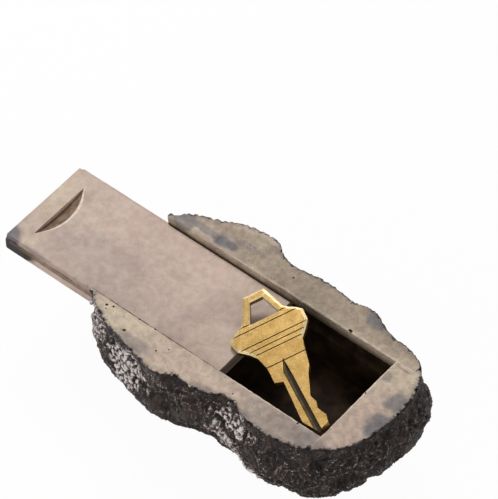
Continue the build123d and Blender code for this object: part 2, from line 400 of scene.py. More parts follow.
def add_blobs(bm, blobs, level, flatness=1.0):
    """Adds a rough pebble for each blob, and leaves out one that would meet another."""
    spacing = 1.25
    kept = []
    for x, y, size in blobs:
        if any((x - a) ** 2 + (y - b) ** 2 < (spacing * (size + c)) ** 2 for a, b, c in kept):
            continue
        kept.append((x, y, size))
        place = Matrix.Translation((x * mm, y * mm, level))
        made = bmesh.ops.create_icosphere(bm, subdivisions=2, radius=size * mm, matrix=place)
        for vert in made["verts"]:
            away = vert.co - place.translation
            away *= 1 + 0.6 * noise.noise(vert.co / (0.6 * mm))
            away.z *= flatness
            vert.co = place.translation + away


# The larger bubbles take the near-black brown finish: painted shade in them, with their dirt
for name, blobs, flatness, kind in (
    ("pits", bubbles, 0.7, shade_and_wash), ("pinholes", pinholes, 0.8, bare),
    ("flakes", flakes, 0.8, outside), ("chips", chips, 0.9, bare),
):
    cutter = bmesh.new()
    add_blobs(cutter, blobs, 0.05 * mm, flatness)
    cut_away(rock, new_piece(name, cutter, rock_finishes, kind))

rock_mesh = rock.data
count = len(rock_mesh.vertices)
places, normals = read_vertices(rock_mesh)
kinds = np.empty(len(rock_mesh.polygons), np.int32)
rock_mesh.polygons.foreach_get("material_index", kinds)
rock_mesh.polygons.foreach_set("use_smooth", kinds == outside)

# Crest and height tell the paint where the crinkles stand up and where the hollows lie: how far
# each vertex stands out from its neighbours, near ones and farther ones
longest_link = 1.5 * mm
links = np.empty(len(rock_mesh.edges) * 2, np.int32)
rock_mesh.edges.foreach_get("vertices", links)
links = links.reshape(-1, 2)
lengths = np.linalg.norm(places[links[:, 0]] - places[links[:, 1]], axis=1)
links = links[lengths < longest_link]
neighbours = np.bincount(links.ravel(), minlength=count).clip(1)


def blurred(values):
    """Each vertex takes the mean of its neighbours."""
    total = np.bincount(links[:, 0], values[links[:, 1]], count)
    total += np.bincount(links[:, 1], values[links[:, 0]], count)
    return total / neighbours


def write_attribute(name, values):
    """Gives each vertex of the rock a number that its paint can read."""
    attribute = rock_mesh.attributes.new(name, "FLOAT", "POINT")
    attribute.data.foreach_set("value", np.asarray(values, np.float32))


smooth = places.copy()
crest_turns, crest_reach = 4, 0.2
height_turns, height_reach = 60, 0.9
reaches = {crest_turns: ("crest", crest_reach), height_turns: ("height", height_reach)}
for turn in range(1, height_turns + 1):
    smooth = np.stack([blurred(smooth[:, axis]) for axis in range(3)], axis=1)
    if turn in reaches:
        name, reach = reaches[turn]
        stands_out = ((places - smooth) * normals).sum(axis=1) / mm
        write_attribute(name, np.clip(0.5 + 0.5 * stands_out / reach, 0, 1))
write_attribute("crumbly", [crumbliness(Vector(place)) for place in places / mm])

# Rim tells how near the painted outside is on the sanded base, 1 at the edge and 0 beyond 3 mm
rim_reach = 3 * mm
corners = np.empty(len(rock_mesh.loops), np.int32)
rock_mesh.loops.foreach_get("vertex_index", corners)
sizes = np.empty(len(rock_mesh.polygons), np.int32)
rock_mesh.polygons.foreach_get("loop_total", sizes)
corner_kinds = np.repeat(kinds, sizes)
on_outside = np.bincount(corners[corner_kinds == outside], minlength=count) > 0
on_base = np.bincount(corners[corner_kinds == bare], minlength=count) > 0
edge_places = places[on_outside & on_base & (places[:, 2] > -0.4 * mm)]
nearest = kdtree.KDTree(len(edge_places))
for index, place in enumerate(edge_places):
    nearest.insert(place, index)
nearest.balance()
rim = np.zeros(count)
for index in np.flatnonzero(on_base & (places[:, 2] > -0.3 * mm)):
    distance = nearest.find(places[index])[2]
    rim[index] = max(0.0, 1 - distance / rim_reach)
write_attribute("rim", rim)


def start_material(name):
    """Opens a material: its tree, its shader, and places on the piece in mm."""
    material = bpy.data.materials[name]
    material.use_nodes = True
    tree = material.node_tree
    shader = tree.nodes["Principled BSDF"]
    spot = tree.nodes.new("ShaderNodeTexCoord").outputs["Object"]
    scaled = tree.nodes.new("ShaderNodeVectorMath")
    scaled.operation = "SCALE"
    scaled.inputs["Scale"].default_value = 1 / mm
    tree.links.new(spot, scaled.inputs[0])
    return tree, shader, scaled.outputs[0]


def plug(tree, socket, value):
    """Sets a socket to a value, or links it."""
    if isinstance(value, bpy.types.NodeSocket):
        tree.links.new(value, socket)
    elif socket.type == "RGBA" and len(value) == 3:
        socket.default_value = (*value, 1)
    else:
        socket.default_value = value


def read_attribute(tree, name):
    """A number that the mesh carries at its vertices."""
    reader = tree.nodes.new("ShaderNodeAttribute")
    reader.attribute_name = name
    return reader.outputs["Fac"]


def stretched(tree, where, scale, turn=0.0):
    """Places turned about Z and scaled, for a grain that is drawn out one way."""
    turned = tree.nodes.new("ShaderNodeMapping")
    turned.inputs["Rotation"].default_value = (0, 0, turn)
    turned.inputs["Scale"].default_value = scale
    plug(tree, turned.inputs["Vector"], where)
    return turned.outputs["Vector"]


def combine_places(tree, way, first, second):
    """Arithmetic on two places."""
    result = tree.nodes.new("ShaderNodeVectorMath")
    result.operation = way
    plug(tree, result.inputs[0], first)
    plug(tree, result.inputs[1], second)
    return result.outputs[0]


def grain(tree, where, size, detail=3.0, distortion=0.0, shift=0.0):
    """Cloudy noise whose patches are about a size across, in mm."""
    moved = combine_places(tree, "ADD", where, (shift, shift * 0.7, -shift * 1.3))
    cloud = tree.nodes.new("ShaderNodeTexNoise")
    plug(tree, cloud.inputs["Vector"], moved)
    cloud.inputs["Scale"].default_value = 1 / size
    cloud.inputs["Detail"].default_value = detail
    cloud.inputs["Distortion"].default_value = distortion
    return cloud.outputs["Fac"]


def between(tree, value, low, high, bottom=0.0, top=1.0):
    """Smooth step of a value from low to high."""
    step = tree.nodes.new("ShaderNodeMapRange")
    step.interpolation_type = "SMOOTHSTEP"
    plug(tree, step.inputs["Value"], value)
    step.inputs["From Min"].default_value = low
    step.inputs["From Max"].default_value = high
    step.inputs["To Min"].default_value = bottom
    step.inputs["To Max"].default_value = top
    return step.outputs["Result"]


def combine(tree, way, first, second):
    """Arithmetic on two values."""
    result = tree.nodes.new("ShaderNodeMath")
    result.operation = way
    plug(tree, result.inputs[0], first)
    plug(tree, result.inputs[1], second)
    return result.outputs[0]


def add(tree, first, second):
    """The sum of two values."""
    return combine(tree, "ADD", first, second)


def times(tree, first, second):
    """The product of two values."""
    return combine(tree, "MULTIPLY", first, second)


def about_zero(tree, cloud):
    """A cloudy noise moved so that its middle value is 0."""
    return combine(tree, "SUBTRACT", cloud, 0.5)


def height_of(tree, where):
    """How high a place is, in mm; the base plane is at 0."""
    parts = tree.nodes.new("ShaderNodeSeparateXYZ")
    plug(tree, parts.inputs[0], where)
    return parts.outputs["Z"]


def blend_colours(tree, share, first, second, way="MIX"):
    """One colour over another by a share."""
    over = tree.nodes.new("ShaderNodeMix")
    over.data_type = "RGBA"
    over.blend_type = way
    plug(tree, over.inputs[0], share)
    plug(tree, over.inputs[6], first)
    plug(tree, over.inputs[7], second)
    return over.outputs[2]


def smudge(tree, where, centre, reach, ragged):
    """1 at a place and 0 beyond its reach in mm, with a ragged edge."""
    away = combine_places(tree, "SUBTRACT", where, centre)
    length = tree.nodes.new("ShaderNodeVectorMath")
    length.operation = "LENGTH"
    plug(tree, length.inputs[0], combine_places(tree, "DIVIDE", away, reach))
    edge = add(tree, length.outputs["Value"], times(tree, ragged, 1.6))
    return between(tree, edge, 0.9, 1.8, 1.0, 0.0)


def raise_surface(tree, shader, heights):
    """Chains bumps: each is a height, its depth in mm and its strength."""
    previous = None
    for height, depth, strength in heights:
        bump = tree.nodes.new("ShaderNodeBump")
        bump.inputs["Strength"].default_value = strength
        bump.inputs["Distance"].default_value = depth * mm
        plug(tree, bump.inputs["Height"], height)
        if previous is not None:
            tree.links.new(previous, bump.inputs["Normal"])
        previous = bump.outputs["Normal"]
    tree.links.new(previous, shader.inputs["Normal"])


# Colours of the resin, of what has stained it, and of painted shade and highlights on it
pinkish_tan = (0.5, 0.35, 0.285)
blue_grey = (0.13, 0.125, 0.14)
mauve = (0.2, 0.165, 0.165)
olive_brown = (0.25, 0.19, 0.13)
sand = (0.6, 0.5, 0.36)
rose = (0.56, 0.41, 0.33)
painted_edge_highlight = (0.78, 0.66, 0.54)
painted_gap_shadow = (0.03, 0.02, 0.014)
foot_shade_brown = (0.1, 0.07, 0.04)
grain_brown = (0.09, 0.065, 0.05)
crack_red = (0.2, 0.08, 0.05)


def bare_resin(name, light, dull, stains, shift, grainy, last_layer=None):
    """Bare cast resin: two tones in clouds, coloured stains, mottle and dark grains."""
    tree, shader, where = start_material(name)
    clouds = grain(tree, where, 17, 4, 0.6, shift)
    tone = blend_colours(tree, between(tree, clouds, 0.4, 0.62), light, dull)
    pink = between(tree, grain(tree, where, 9, 3, 0.8, shift + 9), 0.52, 0.72, 0.0, 0.4)
    tone = blend_colours(tree, pink, tone, pinkish_tan)
    ragged = about_zero(tree, grain(tree, where, 5, 5, 0.5, shift + 4))
    for centre, reach, strength, colour in stains:
        mark = smudge(tree, where, centre, reach, ragged)
        tone = blend_colours(tree, times(tree, mark, strength), tone, colour)
    mottle = grain(tree, where, 2.2, 6, 0.5, shift)
    shade = between(tree, mottle, 0.3, 0.7, 1 - 0.2 * grainy, 1 + 0.1 * grainy)
    tone = blend_colours(tree, 1.0, tone, shade, "MULTIPLY")
    specks = grain(tree, where, 0.5, 2, 0.0, shift + 2)
    crowd = between(tree, grain(tree, where, 7, 3, 0.0, shift + 6), 0.42, 0.62)
    dots = times(tree, between(tree, specks, 0.6, 0.72), crowd)
    tone = blend_colours(tree, times(tree, dots, 0.7 * grainy), tone, grain_brown)
    if last_layer:
        tone = last_layer(tree, where, tone)
    tree.links.new(tone, shader.inputs["Base Color"])
    rough = between(tree, grain(tree, where, 3, 3, 0.0, shift), 0.3, 0.7, 0.5, 0.72)
    tree.links.new(rough, shader.inputs["Roughness"])
    shader.inputs["Specular IOR Level"].default_value = 0.35
    fine = grain(tree, where, 0.45, 4, 0.0, shift)
    waves = grain(tree, where, 6, 2, 0.0, shift + 3)
    raise_surface(tree, shader, [(waves, 0.4, 0.18), (fine, 0.1, 0.3), (dots, -0.12, 0.4)])


def base_foot_shade_and_edge_paint(tree, where, tone):
    """The mouth's walls painted darker towards their foot, painted shade with some dirt, and paint that
    has run over the outer edge of the base.
    """
    # Painted shade: the walls of the mouth grow darker brown downwards
    foot_shade = between(tree, height_of(tree, where), -4.2, -0.9, 1.0, 0.0)
    tone = blend_colours(tree, times(tree, foot_shade, 0.9), tone, foot_shade_brown)
    torn = about_zero(tree, grain(tree, where, 1.1, 5, 0.6, 8))
    edge = add(tree, read_attribute(tree, "rim"), times(tree, torn, 1.1))
    tone = blend_colours(tree, between(tree, edge, 0.45, 1.0, 0.0, 0.4), tone, (0.16, 0.125, 0.115))
    return blend_colours(tree, between(tree, edge, 0.84, 0.98, 0.0, 0.9), tone, (0.035, 0.028, 0.027))


# Stains of the base: place and reach in mm, strength and colour. Broad tones come first, then the
# smudges, and last a painted shadow in the gap along the cover's near side, painted highlights
# along the mouth's edges, and a reddish crack.
base_stains = [
    ((4.0, 25.0, 0), (32.0, 5.0, 5), 0.6, olive_brown),
    ((26.0, -24.0, 0), (13.0, 5.0, 5), 0.55, (0.27, 0.215, 0.19)),
    ((-36.0, -23.5, 0), (9.0, 4.5, 5), 0.6, sand),
    ((-18.0, -24.5, 0), (8.0, 3.5, 5), 0.5, rose),
    ((2.0, -24.0, 0), (9.0, 3.5, 5), 0.4, rose),
    ((44.0, -8.0, 0), (5.0, 11.0, 5), 0.6, rose),
    ((45.0, 16.0, 0), (6.0, 5.0, 5), 0.35, sand),
    ((49.0, 5.5, 0), (2.4, 2.6, 4), 0.75, blue_grey),
    ((49.4, -4.4, 0), (2.6, 3.6, 4), 0.85, blue_grey),
    ((25.0, 27.2, 0), (3.0, 2.2, 4), 0.75, blue_grey),
    ((40.7, 12.2, 0), (1.6, 1.5, 4), 0.5, blue_grey),
    ((-31.5, 21.5, 0), (3.4, 1.4, 4), 0.85, blue_grey),
    ((-38.0, 21.8, 0), (6.5, 1.0, 4), 0.5, blue_grey),
    ((-24.0, 25.0, 0), (5.0, 1.0, 4), 0.5, mauve),
    ((-28.0, -27.0, 0), (5.0, 1.8, 4), 0.6, mauve),
    ((-47.5, 20.5, 0), (3.5, 2.4, 4), 0.7, blue_grey),
    ((37.0, -22.5, 0), (6.0, 2.2, 4), 0.5, mauve),
    ((8.0, -27.5, 0), (9.0, 1.6, 4), 0.6, mauve),
    ((-6.0, 29.8, 0), (10.0, 1.4, 4), 0.45, mauve),
    ((51.5, 10.0, 0), (1.2, 8.0, 4), 0.4, mauve),
    # A painted shadow along the gap between the near lip and the cover
    ((-27.0, -18.4, -0.3), (25.0, 0.46, 0.5), 0.95, painted_gap_shadow),
    # Painted highlights along the mouth's broken edges
    ((18.0, -18.7, 0), (14.0, 0.3, 0.3), 0.7, painted_edge_highlight),
    ((39.1, -2.0, 0), (0.3, 14.0, 0.3), 0.7, painted_edge_highlight),
    ((10.0, 18.7, 0), (34.0, 0.25, 0.25), 0.55, painted_edge_highlight),
    ((43.3, 17.3, 0), (1.7, 0.25, 1), 0.5, crack_red),
]
sanded_light, sanded_dull = (0.54, 0.435, 0.325), (0.4, 0.31, 0.245)
bare_resin("sanded_resin", sanded_light, sanded_dull, base_stains, 0.0, 1.0, base_foot_shade_and_edge_paint)


def shade_and_wash_resin():
    """The compartment and the grooves: the same resin under a dark brown wash, painted near-black as
    painted shade.
    """
    tree, shader, where = start_material("shade_and_wash_resin")
    clouds = between(tree, grain(tree, where, 6, 5, 0.5), 0.35, 0.7)
    tone = blend_colours(tree, clouds, (0.016, 0.007, 0.003), (0.05, 0.028, 0.012))
    tree.links.new(tone, shader.inputs["Base Color"])
    shader.inputs["Roughness"].default_value = 0.75
    shader.inputs["Specular IOR Level"].default_value = 0.2
    raise_surface(tree, shader, [(grain(tree, where, 1.4, 4), 0.3, 0.4)])


def painted_skin():
    """The outside: charcoal and brown wash, painted shade in the hollows, olive patches, pale dry
    brushing on the crests and painted glints.
    """
    tree, shader, where = start_material("painted_skin")
    crest = read_attribute(tree, "crest")
    crumbly = read_attribute(tree, "crumbly")
    wash = between(tree, grain(tree, where, 5, 5, 0.6), 0.4, 0.62)
    tone = blend_colours(tree, wash, (0.01, 0.0072, 0.0065), (0.032, 0.0225, 0.019))
    drawn = stretched(tree, where, (1, 1, 0.3))
    streaks = between(tree, grain(tree, drawn, 1.1, 4, 0.6, 33), 0.35, 0.66, 0.5, 1.9)
    tone = blend_colours(tree, 1.0, tone, streaks, "MULTIPLY")
    # The broad hollows are painted near-black: the wash pooled there, and painted shade
    hollow_wash_and_shade = between(tree, read_attribute(tree, "height"), 0.1, 0.5, 0.85, 0.0)
    tone = blend_colours(tree, hollow_wash_and_shade, tone, (0.006, 0.0045, 0.004))
    rust = between(tree, grain(tree, where, 4, 4, 0.9, 21), 0.56, 0.7, 0.0, 0.7)
    tone = blend_colours(tree, rust, tone, (0.07, 0.034, 0.026))
    olive = between(tree, grain(tree, where, 6, 4, 0.9, 77), 0.6, 0.72, 0.0, 0.6)
    tone = blend_colours(tree, olive, tone, (0.1, 0.078, 0.045))
    # The brush touches the crests, and most of all the crumbly places
    hairs = about_zero(tree, grain(tree, where, 0.38, 4, 0.8, 5))
    clumps = about_zero(tree, grain(tree, where, 1.7, 3, 0.8, 15))
    touch = add(tree, times(tree, hairs, 2.7), times(tree, clumps, 0.8))
    touch = add(tree, touch, times(tree, crest, 0.85))
    keen = add(tree, times(tree, crest, 0.42), 0.36)
    touch = add(tree, touch, times(tree, crumbly, keen))
    half_tone = between(tree, touch, 0.4, 1.0, 0.0, 0.85)
    tone = blend_colours(tree, half_tone, tone, (0.075, 0.056, 0.05))
    brushed = between(tree, touch, 0.88, 1.22, 0.0, 0.95)
    tone = blend_colours(tree, brushed, tone, (0.53, 0.45, 0.425))
    # The palest specks are painted glints: painted highlights on the highest crests
    painted_glint = between(tree, touch, 1.25, 1.6, 0.0, 0.85)
    tone = blend_colours(tree, painted_glint, tone, (0.93, 0.88, 0.86))
    # The outside is darker in a thin line just below the edge of the sanded base
    line = between(tree, height_of(tree, where), -1.0, -0.45, 0.0, 0.8)
    line = times(tree, line, between(tree, clumps, -0.12, 0.05))
    line = times(tree, line, between(tree, crumbly, 0.2, 0.8, 1.0, 0.25))
    tone = blend_colours(tree, line, tone, (0.02, 0.014, 0.012))
    tree.links.new(tone, shader.inputs["Base Color"])
    rough = between(tree, grain(tree, where, 2, 3), 0.3, 0.7, 0.34, 0.56)
    tree.links.new(rough, shader.inputs["Roughness"])
    shader.inputs["Specular IOR Level"].default_value = 0.22
    crackle = grain(tree, where, 0.95, 5, 0.9, 3)
    raise_surface(tree, shader, [(crackle, 0.9, 0.7), (hairs, 0.35, 0.7)])


shade_and_wash_resin()
painted_skin()
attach(rock, "rock")
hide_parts("rock_body")

# --- The sliding cover ----------------------------------------------------------------------
# A flat casting of the same resin. A rail along each long side runs under the channel's lips,
# the raised middle fills the mouth, and a scooped notch near the outer end takes a thumbnail.

step_height = 1.5 * mm
step_draft = 0.4 * mm
step_foot_half = mouth_half - side_gap
step_top_half = step_foot_half - step_draft
rail_half = cover_high.y
rail_top = cover_high.z - step_height
rail_corner = 1.2 * mm
notch_chord = cover_low.x + 6.6 * mm
notch_half = 12 * mm
notch_reach = 5.4 * mm
notch_depth = 1.9 * mm
notch_bevel = 1.5 * mm
bevel_depth = 1.1 * mm

section = [
    (-rail_half, cover_low.z),
    (rail_half, cover_low.z),
    (rail_half, rail_top),
    (step_foot_half, rail_top),
    (step_top_half, cover_high.z),
    (-step_top_half, cover_high.z),
    (-step_foot_half, rail_top),
    (-rail_half, rail_top),
]
plate = bmesh.new()
add_prism(plate, [[(x, y, z) for y, z in section] for x in (cover_low.x, cover_high.x)])
bmesh.ops.recalc_face_normals(plate, faces=plate.faces)
corners = []
for edge in plate.edges:
    a, b = (vert.co for vert in edge.verts)
    upright = abs(a.x - b.x) + abs(a.y - b.y) < 1e-7
    if upright and a.x < cover_low.x + 1e-6:
        corners.append(edge)
bmesh.ops.bevel(plate, geom=corners, offset=rail_corner, segments=4, profile=0.5, affect="EDGES")
cover = new_piece("cover_casting", plate)
softened = cover.modifiers.new("softened", "BEVEL")
softened.width = 0.22 * mm
softened.segments = 2
softened.limit_method = "ANGLE"
softened.angle_limit = radians(35)
apply_modifiers(cover)
plate = bmesh.new()
plate.from_mesh(cover.data)
bpy.data.objects.remove(cover)
divide(plate, step=1.4 * mm)
bmesh.ops.recalc_face_normals(plate, faces=plate.faces)
plate.normal_update()
# Its faces are slightly uneven, and stay inside its box
wave_depth, wave_size = 0.07 * mm, 7 * mm
ripple_depth, ripple_size = 0.03 * mm, 1.6 * mm
for vert in plate.verts:
    waves = wave_depth * (noise.noise(vert.co / wave_size) - 1)
    ripples = ripple_depth * noise.noise(vert.co / ripple_size)
    vert.co += vert.normal * (waves + ripples)
    for axis in range(3):
        vert.co[axis] = min(cover_high[axis], max(cover_low[axis], vert.co[axis]))
cover_finishes = [
    bpy.data.materials.new(name) for name in ("cover_resin", "washed_and_shaded_notch", "painted_highlight_bevel")
]
cast, brown, notch_highlight = range(3)
cover = new_piece("cover_casting", plate, cover_finishes, cast)

# The notch: upright on its straight side, a floor painted brown as a wash and painted shade, and a
# bevel painted pale as a highlight up to its curved side
notch = bmesh.new()
notch_radius = (notch_half**2 + notch_reach**2) / (2 * notch_reach)
stations = 40
depth_at_tips, bevel_at_tips = 0.25, 0.2  # shares of the depths at the middle
top = cover_high.z + 1 * mm
rows = []
for i in range(stations + 1):
    y = notch_half * 0.99 * (2 * i / stations - 1)
    bow = sqrt(notch_radius**2 - y**2) - (notch_radius - notch_reach)
    share = bow / notch_reach
    inner = max(bow - notch_bevel * min(share, 1) ** 0.7, bow * 0.1)
    depth = notch_depth * (depth_at_tips + (1 - depth_at_tips) * share)
    bevel_foot = bevel_depth * (bevel_at_tips + (1 - bevel_at_tips) * share)
    rows.append([
        (notch_chord, y, top),
        (notch_chord, y, cover_high.z - depth),
        (notch_chord + inner, y, cover_high.z - bevel_foot),
        (notch_chord + bow, y, cover_high.z),
        (notch_chord + bow, y, top),
    ])
notch_verts = [[notch.verts.new(point) for point in row] for row in rows]
strip_finishes = (cast, brown, notch_highlight, cast, cast)
for first, second in zip(notch_verts, notch_verts[1:]):
    for i, finish in enumerate(strip_finishes):
        j = (i + 1) % len(strip_finishes)
        face = notch.faces.new((first[i], first[j], second[j], second[i]))
        face.material_index = finish
notch.faces.new(notch_verts[0])
notch.faces.new(notch_verts[-1][::-1])
cut_away(cover, new_piece("notch", notch, cover_finishes))

# Small chips along the two long top edges, and pinholes in the face
chance = random.Random(5)
edge_chip_count, pinhole_count = 26, 14
cover_end, cover_start = cover_low.x / mm, cover_high.x / mm
dents_in_face = []
for _ in range(edge_chip_count):
    side = chance.choice((-1, 1))
    x = chance.uniform(cover_end + 3, cover_start - 1)
    dents_in_face.append((x, side * (step_top_half / mm + 0.15), chance.uniform(0.22, 0.5)))
for _ in range(pinhole_count):
    x = chance.uniform(cover_end + 12, cover_start - 3)
    dents_in_face.append((x, chance.uniform(-16, 16), chance.uniform(0.12, 0.2)))
dents = bmesh.new()
add_blobs(dents, dents_in_face, cover_high.z + 0.02 * mm)
cut_away(cover, new_piece("dents", dents, cover_finishes, cast))

# Stains of the cover: broad tones of its face, smudges, the dark outer corner, painted shade as a
# brown line under the step along its near side, its outer end, and painted shade on its inner end
cover_stains = [
    ((-86.0, 4.0, -3), (5.0, 9.0, 3), 0.5, (0.62, 0.5, 0.37)),
    ((-84.0, -14.0, -3), (5.0, 4.0, 3), 0.4, (0.6, 0.49, 0.36)),
    ((-50.0, 10.0, -3), (24.0, 7.0, 4), 0.5, (0.6, 0.44, 0.37)),
    ((-88.6, -17.0, -4), (3.6, 3.0, 6), 0.85, blue_grey),
    ((-78.0, -18.3, -3), (5.0, 1.0, 1), 0.5, mauve),
    ((-60.0, -9.0, -3), (16.0, 8.0, 4), 0.5, (0.39, 0.3, 0.265)),
    ((-79.0, 10.5, -2.8), (1.6, 2.4, 1), 0.35, (0.3, 0.235, 0.2)),
    ((-85.0, -19.2, -5.4), (5.6, 0.9, 2.2), 1.0, (0.022, 0.018, 0.018)),
    # Painted shade under the step along the near side
    ((-66.0, -19.2, -4.4), (14.0, 0.8, 0.35), 0.8, (0.14, 0.075, 0.04)),
    ((-89.0, 8.0, -5.5), (0.4, 12.0, 2.5), 0.3, mauve),
    # Painted shade on the inner end face
    ((-2.0, 0.0, -7.4), (0.5, 20.0, 1.2), 0.5, (0.2, 0.17, 0.12)),
    ((-2.0, 0.0, -4.5), (0.4, 20.0, 1.3), 0.6, (0.14, 0.12, 0.085)),
]
cover_light, cover_dull = (0.545, 0.42, 0.345), (0.46, 0.345, 0.29)
bare_resin("cover_resin", cover_light, cover_dull, cover_stains, 57.0, 0.45)


def washed_and_shaded_notch():
    """The notch's floor: the resin under a thin brown wash, darkened as painted shade."""
    tree, shader, where = start_material("washed_and_shaded_notch")
    clouds = between(tree, grain(tree, where, 2.5, 5, 0.5), 0.35, 0.65)
    tone = blend_colours(tree, clouds, (0.15, 0.09, 0.055), (0.245, 0.16, 0.11))
    tree.links.new(tone, shader.inputs["Base Color"])
    shader.inputs["Roughness"].default_value = 0.7
    shader.inputs["Specular IOR Level"].default_value = 0.25
    raise_surface(tree, shader, [(grain(tree, where, 0.6, 4), 0.12, 0.4)])


def painted_highlight_bevel():
    """The notch's bevel, painted pale as a highlight where it faces the window."""
    tree, shader, where = start_material("painted_highlight_bevel")
    clouds = between(tree, grain(tree, where, 1.5, 4, 0.4), 0.35, 0.65)
    tone = blend_colours(tree, clouds, (0.86, 0.76, 0.66), (0.72, 0.6, 0.5))
    tree.links.new(tone, shader.inputs["Base Color"])
    shader.inputs["Roughness"].default_value = 0.55
    raise_surface(tree, shader, [(grain(tree, where, 0.4, 4), 0.08, 0.3)])


washed_and_shaded_notch()
painted_highlight_bevel()
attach(cover, "cover")
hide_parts("slide_cover")

# --- The key ----------------------------------------------------------------------------------
# A house key stamped from brass strip. The die leaves a bevel round the bow and the loop and
# lines across the bow; the blade's groove is milled and its cuts are ground.

key_shape = bmesh.new()
key_shape.from_mesh(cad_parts["key"].data)
bmesh.ops.remove_doubles(key_shape, verts=key_shape.verts, dist=1e-6)
bmesh.ops.dissolve_limit(
    key_shape, angle_limit=radians(0.5), verts=key_shape.verts, edges=key_shape.edges
)
top_face = max((f for f in key_shape.faces if f.normal.z > 0), key=lambda f: f.calc_area())
key_up = top_face.normal.copy()
loop_reach = 17.4 * mm  # from the loop's end to the middle of the bow
# The key lies askew. The two corners of the loop's end are the ones farthest from the tip.
tip = max((v.co.copy() for v in top_face.verts), key=lambda p: p.x)
loop_corners = sorted((v.co.copy() for v in top_face.verts), key=lambda p: -(p - tip).length)[:2]
loop_middle = (loop_corners[0] + loop_corners[1]) / 2
across = (loop_corners[0] - loop_corners[1]).normalized()
if across.y < 0:
    across = -across
ahead = across.cross(key_up).normalized()
bow_middle = loop_middle + ahead * loop_reach
key_place = Matrix((ahead, across, key_up)).transposed().to_4x4()
key_place.translation = bow_middle
to_key = key_place.inverted()

key_finishes = [
    bpy.data.materials.new(name) for name in ("worn_brass", "toned_brass", "highlit_brass", "dark_brass")
]
worn, toned, bevel_highlight, dark = range(4)

# The outlines of the top face, in mm on the key's own plane: the outer one and the loop's hole
same_plane = 0.02 * mm
top_faces = set()
for face in key_shape.faces:
    height = (to_key @ face.calc_center_median()).z
    if face.normal.dot(key_up) > 0.999 and abs(height) < same_plane:
        top_faces.add(face)
next_verts = {}
for edge in key_shape.edges:
    if sum(face in top_faces for face in edge.link_faces) == 1:
        first, second = edge.verts
        next_verts.setdefault(first, []).append(second)
        next_verts.setdefault(second, []).append(first)
outlines = []
while next_verts:
    here = next(iter(next_verts))
    previous = None
    outline = []
    while here in next_verts:
        outline.append((to_key @ here.co).to_2d() / mm)
        onward = [vert for vert in next_verts.pop(here) if vert is not previous]
        previous, here = here, onward[0]
    outlines.append(outline)


def area(outline):
    """Signed area of a closed outline: positive when it runs anticlockwise."""
    return sum(a.cross(b) for a, b in zip(outline, outline[1:] + outline[:1])) / 2


def left_of(a, b):
    """The direction to the left of a way from one point to the next."""
    along = (b - a).normalized()
    return Vector((-along.y, along.x))


def add_bevel_strip(bm, points, closed, width, depth):
    """A strip with a sloping floor along an outline that runs with the brass on its left; in mm."""
    clear, overhang = 0.06, 0.35  # above the face, and outside the outline
    slope = depth / width
    section = (
        (-overhang, clear),
        (-overhang, -depth - slope * overhang),
        (width + clear / slope, clear),
    )
    total = len(points)
    rows = []
    for i, point in enumerate(points):
        sides = []
        if closed or i > 0:
            sides.append(left_of(points[i - 1], point))
        if closed or i < total - 1:
            sides.append(left_of(point, points[(i + 1) % total]))
        inward = (sides[0] + sides[-1]) / max(0.5, 1 + sides[0].dot(sides[-1]))
        row = []
        for reach, height in section:
            flat = point + inward * reach
            row.append(bm.verts.new(key_place @ (Vector((flat.x, flat.y, height)) * mm)))
        rows.append(row)
    pairs = list(zip(rows, rows[1:]))
    if closed:
        pairs.append((rows[-1], rows[0]))
    for first, second in pairs:
        for i in range(3):
            j = (i + 1) % 3
            bm.faces.new((first[i], first[j], second[j], second[i]))
    if not closed:
        bm.faces.new(rows[0])
        bm.faces.new(rows[-1][::-1])


# The die's bevel runs round the bow and the loop, and round the loop's hole
key = new_piece("brass_key", key_shape, key_finishes, worn)
groove_start = 8.3
smallest_hole = 8  # square millimetres
outlines.sort(key=lambda ring: -abs(area(ring)))
outer = outlines[0] if area(outlines[0]) > 0 else outlines[0][::-1]
begin = max(range(len(outer)), key=lambda i: outer[i].x)
outer = outer[begin:] + outer[:begin]
round_bow = [point for point in outer if point.x < groove_start]
bevel = bmesh.new()
add_bevel_strip(bevel, round_bow, closed=False, width=0.9, depth=0.45)
cut_away(key, new_piece("bevel", bevel, key_finishes, bevel_highlight))
for hole in outlines[1:]:
    if abs(area(hole)) > smallest_hole and max(point.x for point in hole) < 0:
        hole = hole if area(hole) < 0 else hole[::-1]
        bevel = bmesh.new()
        add_bevel_strip(bevel, hole, closed=True, width=0.5, depth=0.35)
        cut_away(key, new_piece("hole_bevel", bevel, key_finishes, bevel_highlight))
softened = key.modifiers.new("softened", "BEVEL")
softened.width = 0.07 * mm
softened.segments = 1
softened.limit_method = "ANGLE"
softened.angle_limit = radians(40)
apply_modifiers(key)

# Lines pressed across the bow: place along the key and both ends across it, in mm
pressed_lines = [
    (-7.45, -8.8, -4.6), (-7.45, 4.6, 8.8), (-5.45, -11.5, 11.5), (0.0, -12.6, 12.6),
    (1.95, -11.0, 11.5), (3.77, -10.0, 10.5), (9.45, -7.0, 8.5),
]
line_half_width = 0.34
line_depth = 0.3
line_section = ((0, -line_depth), (line_half_width, line_depth), (-line_half_width, line_depth))
for along, low, high in pressed_lines:
    die = bmesh.new()
    rings = []
    for side in (low, high):
        rings.append([key_place @ (Vector((along + x, side, z)) * mm) for x, z in line_section])
    add_prism(die, rings)
    cut_away(key, new_piece("die", die, key_finishes, dark))

# The groove is milled in two passes, the second one narrower and deeper; the deeper pass is
# near-black brass, painted shade
groove_step = bmesh.new()
step_outline = [(9.6, 0.0), (13.4, -0.75), (39.5, 0.5), (39.5, 1.72), (13.4, 0.48)]
rings = []
for z in (-1.15, -0.3):
    rings.append([key_place @ (Vector((x, y, z)) * mm) for x, y in step_outline])
add_prism(groove_step, rings)
cut_away(key, new_piece("groove_step", groove_step, key_finishes, dark))


